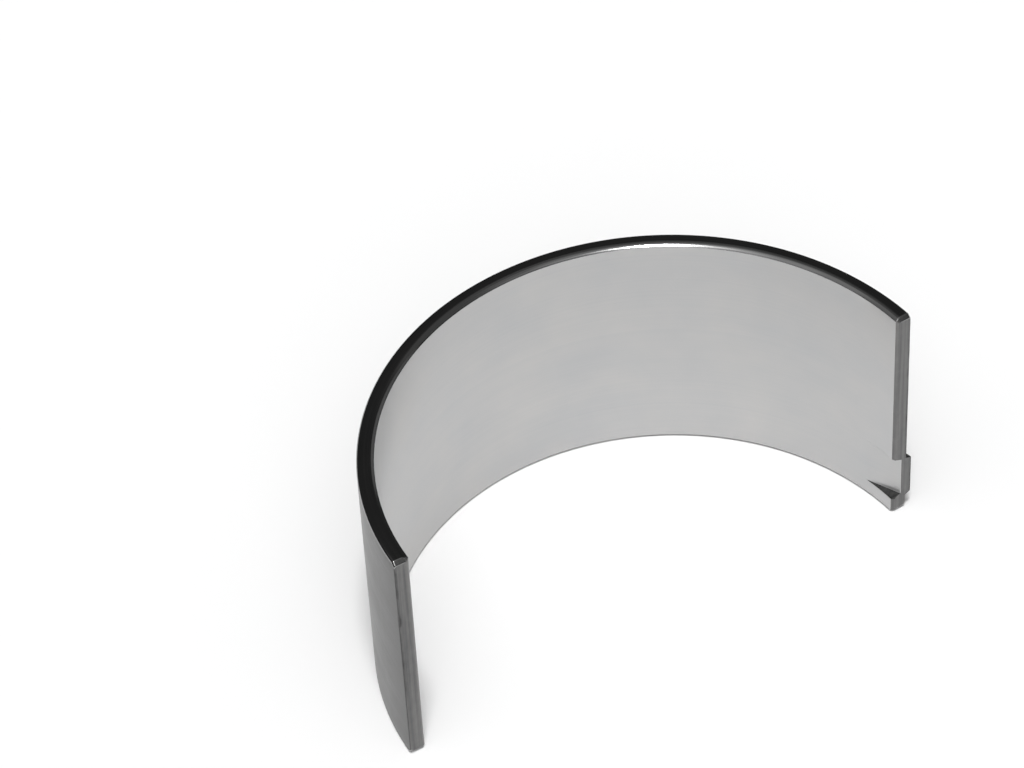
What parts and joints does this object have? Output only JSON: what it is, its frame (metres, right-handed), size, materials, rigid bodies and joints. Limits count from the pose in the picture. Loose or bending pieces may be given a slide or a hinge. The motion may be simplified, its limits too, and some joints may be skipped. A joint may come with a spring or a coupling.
{
  "type": "engine bearing shell",
  "caption": "Thin half-round metal shell of a split plain bearing, with bevelled edges and a pressed-out locating lug at one end; it lines half of a housing round a crank journal.",
  "frame": {"origin": "on the bearing axis, at the middle of the shell's width", "axes": "+Z along the bearing axis, up as the shell stands on its rim; +Y from the open side towards the crown; +X towards the end with the locating lug"},
  "size_m": [0.0701, 0.0333, 0.0318],
  "materials": {
    "bearing_metal": "satin grey back and rims, smoother and lighter running surface"
  },
  "bodies": {
    "root": {"bearing_shell": "bearing_metal"}
  },
  "joints": []
}
